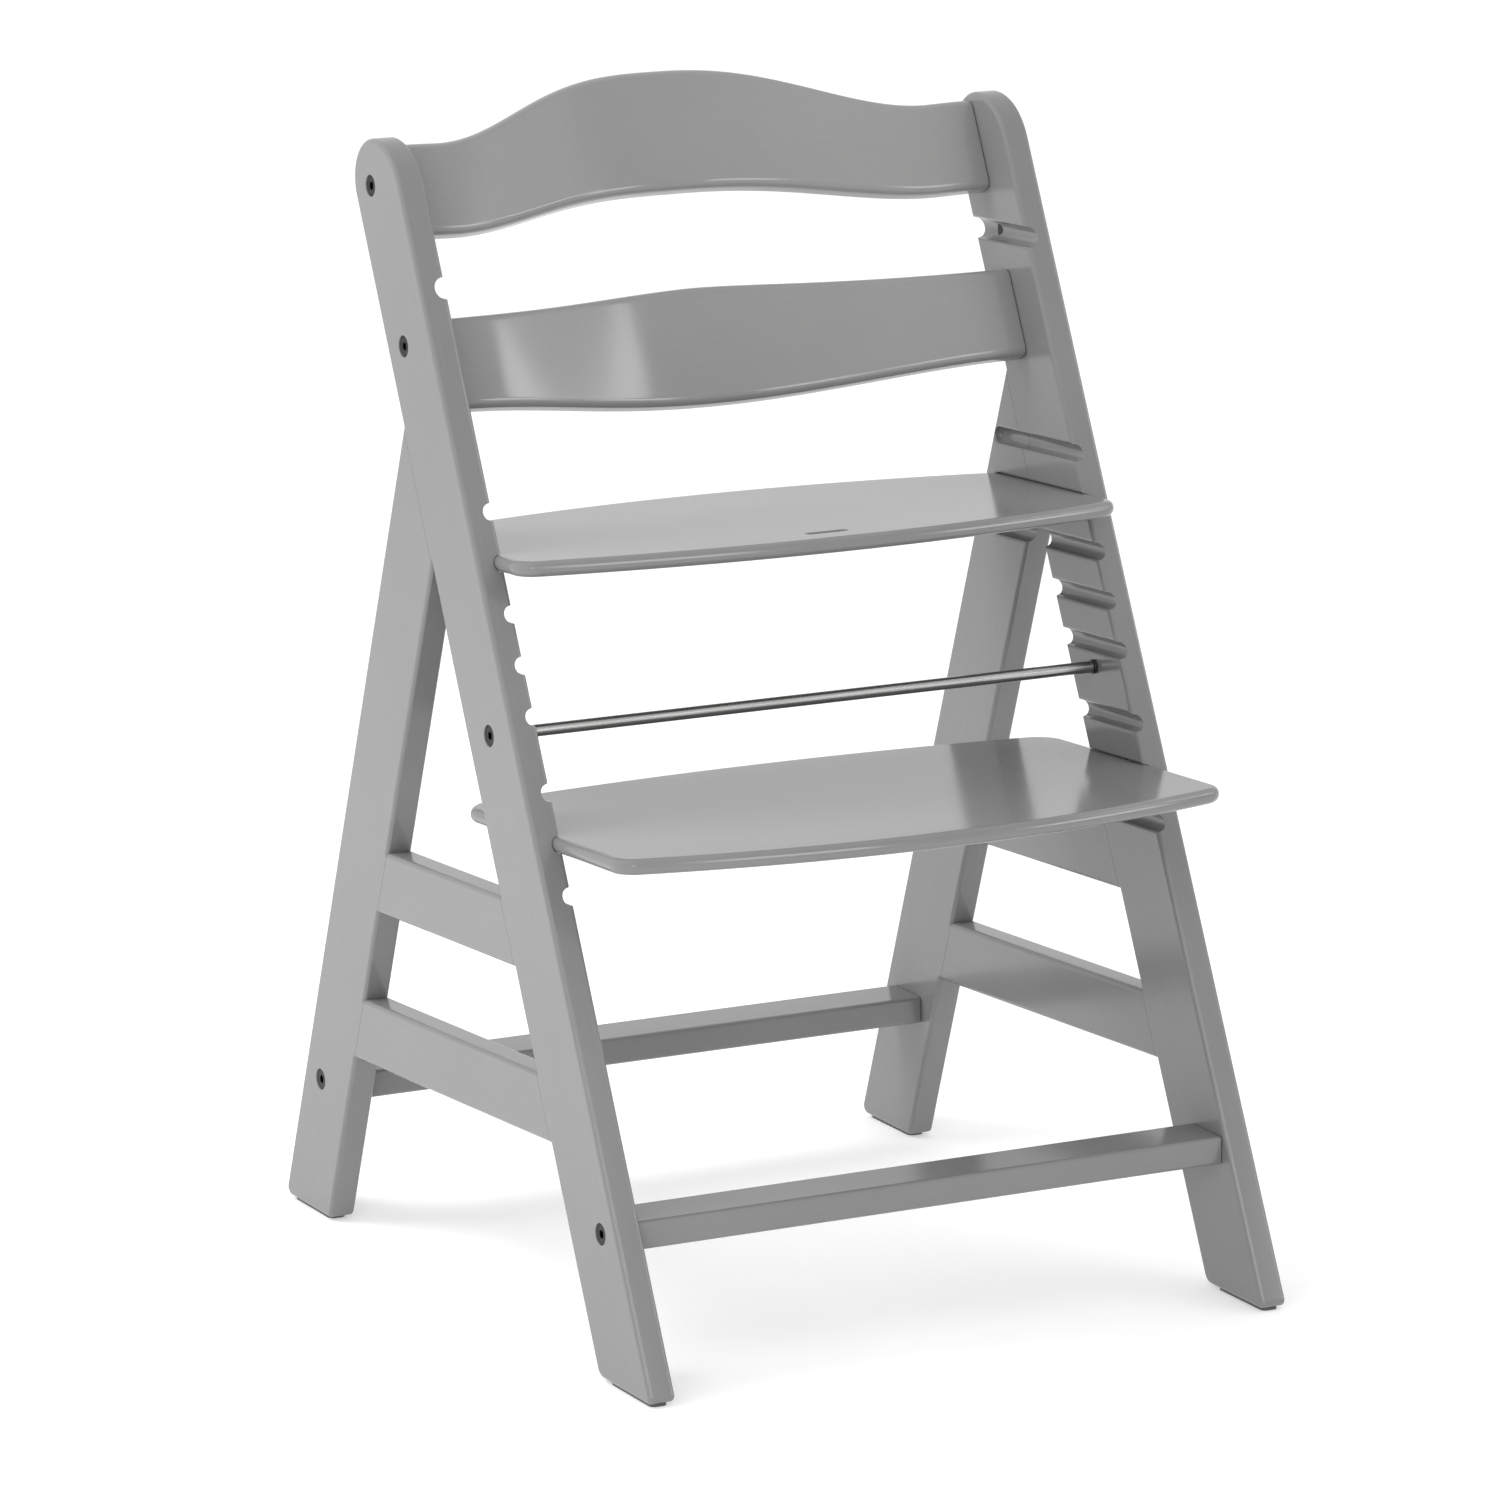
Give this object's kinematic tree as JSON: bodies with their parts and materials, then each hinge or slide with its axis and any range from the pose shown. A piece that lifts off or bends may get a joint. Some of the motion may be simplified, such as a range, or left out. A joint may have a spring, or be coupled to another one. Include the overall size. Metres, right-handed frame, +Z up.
{
  "type": "adjustable high chair",
  "caption": "Wooden baby high chair: two leaning side frames, curved backrests, crossbars, a steel tie rod, and a seat and foot board that slide in side grooves.",
  "frame": {"origin": "middle of the footprint, on the floor under the glides", "axes": "+X across the chair to the sitter's left, -Y to the front, +Z up"},
  "size_m": [0.47, 0.5491, 0.7783],
  "materials": {
    "frame_lacquer": "satin grey lacquer over beech, opaque",
    "board_lacquer": "satin grey lacquer over plywood, opaque",
    "rod_steel": "satin stainless steel",
    "bolt_black": "black oxide steel, satin",
    "nut_zinc": "zinc plated steel",
    "dowel_beech": "bare beech",
    "ring_rubber": "black rubber, matte",
    "glide_plastic": "dark grey plastic, matte"
  },
  "bodies": {
    "frame": {"left_front_post": "frame_lacquer", "right_front_post": "frame_lacquer", "left_rear_leg": "frame_lacquer", "right_rear_leg": "frame_lacquer", "left_upper_rail": "frame_lacquer", "right_upper_rail": "frame_lacquer", "left_lower_rail": "frame_lacquer", "right_lower_rail": "frame_lacquer", "left_front_glide": "glide_plastic", "right_front_glide": "glide_plastic", "left_rear_glide": "glide_plastic", "right_rear_glide": "glide_plastic", "left_rod_ring": "ring_rubber", "right_rod_ring": "ring_rubber", "left_tie_rod_bolt": "bolt_black", "right_tie_rod_bolt": "bolt_black", "left_top_backrest_bolt": "bolt_black", "right_top_backrest_bolt": "bolt_black", "left_lower_backrest_bolt": "bolt_black", "right_lower_backrest_bolt": "bolt_black", "left_front_crossbar_bolt": "bolt_black", "right_front_crossbar_bolt": "bolt_black", "left_rear_crossbar_bolt": "bolt_black", "right_rear_crossbar_bolt": "bolt_black", "left_top_backrest_nut": "nut_zinc", "right_top_backrest_nut": "nut_zinc", "left_lower_backrest_nut": "nut_zinc", "right_lower_backrest_nut": "nut_zinc", "left_front_crossbar_nut": "nut_zinc", "right_front_crossbar_nut": "nut_zinc", "left_rear_crossbar_nut": "nut_zinc", "right_rear_crossbar_nut": "nut_zinc", "left_top_backrest_dowel": "dowel_beech", "right_top_backrest_dowel": "dowel_beech", "left_lower_backrest_dowel": "dowel_beech", "right_lower_backrest_dowel": "dowel_beech", "left_front_crossbar_dowel": "dowel_beech", "right_front_crossbar_dowel": "dowel_beech", "left_rear_crossbar_dowel": "dowel_beech", "right_rear_crossbar_dowel": "dowel_beech", "top_backrest": "frame_lacquer", "lower_backrest": "frame_lacquer", "front_crossbar": "frame_lacquer", "rear_crossbar": "frame_lacquer", "tie_rod": "rod_steel"},
    "seat": {"seat_board": "board_lacquer"},
    "footrest": {"foot_board": "board_lacquer"}
  },
  "joints": [
    {"name": "seat_slide", "type": "slide", "parent": "frame", "child": "seat", "axis": [0, -0.9988, 0.0481], "range_m": [0, 0.06]},
    {"name": "footrest_slide", "type": "slide", "parent": "frame", "child": "footrest", "axis": [0, -0.9988, 0.0481], "range_m": [-0.05, 0.04]}
  ]
}
